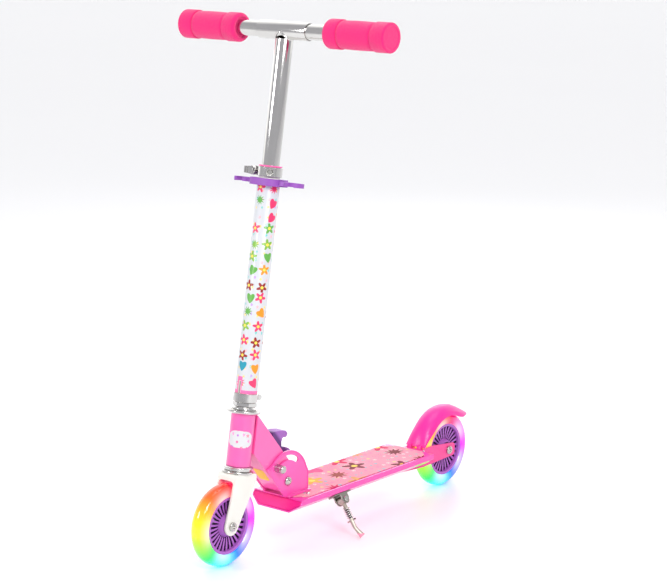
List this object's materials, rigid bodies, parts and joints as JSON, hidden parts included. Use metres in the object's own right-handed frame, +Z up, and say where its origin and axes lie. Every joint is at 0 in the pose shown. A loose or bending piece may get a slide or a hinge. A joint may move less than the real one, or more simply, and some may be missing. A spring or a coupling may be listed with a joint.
{
  "type": "folding kick scooter",
  "caption": "Child's folding kick scooter with light-up wheels, height-adjustable T-bar, pull-off foam-grip handles, fender brake, thumb-lever fold lock and kickstand",
  "frame": {"origin": "On the ground, midway between the two axles, in the scooter's middle plane", "axes": "+X is the riding direction, +Y is the rider's left, +Z is up"},
  "size_m": [0.64, 0.372, 0.7666],
  "materials": {
    "deck_pan": "gloss pink paint",
    "deck_front_cap": "gloss hot pink",
    "grip_sheet": "matt printed non-slip sheet",
    "hinge_bracket": "gloss pink paint",
    "neck_frame": "gloss pink paint",
    "rear_fork": "gloss hot pink paint",
    "fender": "gloss hot pink",
    "fork": "gloss white paint",
    "lower_tube": "gloss white paint",
    "printed_sleeve": "printed white film",
    "grip": "soft pink foam",
    "purple_plastic": "satin purple",
    "pink_plastic": "pink nylon",
    "wheel_core": "gloss purple",
    "clear_tyre": "translucent polyurethane, lit from inside",
    "glow": "light ring",
    "chrome": "bright chrome",
    "zinc": "zinc-plated steel",
    "brass": "ball cage"
  },
  "bodies": {
    "deck_frame": {"deck_pan": "deck_pan", "deck_front_cap": "deck_front_cap", "grip_sheet": "grip_sheet", "hinge_bracket": "hinge_bracket", "fold_pivot_bolt": "zinc", "fold_pivot_nut": "zinc", "rear_fork": "rear_fork", "rear_axle": "zinc", "rear_axle_nut": "zinc", "rear_magnet_spacer": "zinc", "fender_hinge_pin": "zinc", "fender_spring": "zinc", "kickstand_bracket": "zinc", "kickstand_rivet": "zinc"},
    "neck": {"neck_frame": "neck_frame", "lower_cup": "chrome", "upper_cup": "chrome", "upper_ball_ring": "brass", "lower_ball_ring": "brass", "lever_pivot_pin": "zinc"},
    "steering": {"fork": "fork", "steerer_tube": "zinc", "crown_race": "chrome", "headset_cone": "chrome", "headset_locknut": "chrome", "lower_tube": "lower_tube", "printed_sleeve": "printed_sleeve", "lower_clamp": "chrome", "lower_clamp_bolt": "chrome", "height_bushing": "pink_plastic", "height_clamp": "chrome", "clamp_skewer": "chrome", "handle_holder": "purple_plastic", "front_axle": "zinc", "front_axle_nut": "zinc", "front_magnet_spacer": "zinc"},
    "quick_release": {"quick_release_lever": "chrome"},
    "stem": {"t_stem": "chrome"},
    "height_clip": {"height_snap_clip": "zinc"},
    "left_handle": {"left_bar": "chrome", "left_grip": "grip"},
    "left_clip": {"left_snap_clip": "zinc"},
    "right_handle": {"right_bar": "chrome", "right_grip": "grip"},
    "right_clip": {"right_snap_clip": "zinc"},
    "front_wheel": {"front_tyre": "clear_tyre", "front_wheel_core": "wheel_core", "front_bearing_left": "zinc", "front_bearing_right": "zinc", "front_light_ring": "glow"},
    "rear_wheel": {"rear_tyre": "clear_tyre", "rear_wheel_core": "wheel_core", "rear_bearing_left": "zinc", "rear_bearing_right": "zinc", "rear_light_ring": "glow"},
    "fender_brake": {"fender": "fender"},
    "kickstand": {"kickstand_leg": "zinc", "kickstand_spring": "zinc"},
    "thumb_lever": {"release_lever": "purple_plastic"},
    "fold_lock": {"lock_pin": "zinc"}
  },
  "joints": [
    {"name": "fold", "type": "hinge", "parent": "deck_frame", "child": "neck", "pos_m": [0.144, 0, 0.101], "axis": [0, -1, 0], "range_deg": [0, 81]},
    {"name": "steer", "type": "hinge", "parent": "neck", "child": "steering", "pos_m": [0.24222, 0, 0.05718], "axis": [-0.1564, 0, 0.9877], "continuous": true},
    {"name": "bar_height", "type": "slide", "parent": "steering", "child": "stem", "axis": [0.1564, 0, -0.9877], "range_m": [0, 0.165], "deforming": ["height_snap_clip"]},
    {"name": "height_clip_press", "type": "slide", "parent": "stem", "child": "height_clip", "axis": [-0.7566, -0.6428, -0.1198], "range_m": [0, 0.003], "stiffness_N_per_m": 800, "springref_m": -0.003, "deforming": ["height_snap_clip"]},
    {"name": "quick_release", "type": "hinge", "parent": "steering", "child": "quick_release", "pos_m": [0.16404, -0.02425, 0.55083], "axis": [-0.9877, 0, -0.1564], "range_deg": [0, 90]},
    {"name": "left_handle_pull", "type": "slide", "parent": "stem", "child": "left_handle", "axis": [0, 1, 0], "range_m": [0, 0.037], "deforming": ["left_snap_clip"]},
    {"name": "left_clip_press", "type": "slide", "parent": "left_handle", "child": "left_clip", "axis": [-0.1564, 0, 0.9877], "range_m": [0, 0.002], "stiffness_N_per_m": 600, "springref_m": -0.003, "deforming": ["left_snap_clip"]},
    {"name": "right_handle_pull", "type": "slide", "parent": "stem", "child": "right_handle", "axis": [0, -1, 0], "range_m": [0, 0.037], "deforming": ["right_snap_clip"]},
    {"name": "right_clip_press", "type": "slide", "parent": "right_handle", "child": "right_clip", "axis": [-0.1564, 0, 0.9877], "range_m": [0, 0.002], "stiffness_N_per_m": 600, "springref_m": -0.003, "deforming": ["right_snap_clip"]},
    {"name": "front_wheel_spin", "type": "hinge", "parent": "steering", "child": "front_wheel", "pos_m": [0.26, 0, 0.06], "axis": [0, 1, 0], "continuous": true},
    {"name": "rear_wheel_spin", "type": "hinge", "parent": "deck_frame", "child": "rear_wheel", "pos_m": [-0.26, 0, 0.06], "axis": [0, 1, 0], "continuous": true},
    {"name": "brake_press", "type": "hinge", "parent": "deck_frame", "child": "fender_brake", "pos_m": [-0.1912, 0, 0.0705], "axis": [0, -1, 0], "range_deg": [0, 3], "stiffness_Nm_per_rad": 3, "springref_deg": -8.59},
    {"name": "kickstand_fold", "type": "hinge", "parent": "deck_frame", "child": "kickstand", "pos_m": [0.046, 0.04374, 0.05351], "axis": [0, 0.8321, 0.5547], "range_deg": [0, 88]},
    {"name": "thumb_press", "type": "hinge", "parent": "neck", "child": "thumb_lever", "pos_m": [0.15978, 0, 0.13487], "axis": [0, -1, 0], "range_deg": [0, 9.3], "stiffness_Nm_per_rad": 0.6, "springref_deg": -17.19},
    {"name": "lock_lift", "type": "slide", "parent": "neck", "child": "fold_lock", "axis": [0.6947, 0, 0.7193], "range_m": [0, 0.002]}
  ],
  "couplings": [
    {"joint": "lock_lift", "follows": "thumb_press", "m_per_rad": 0.01218}
  ]
}
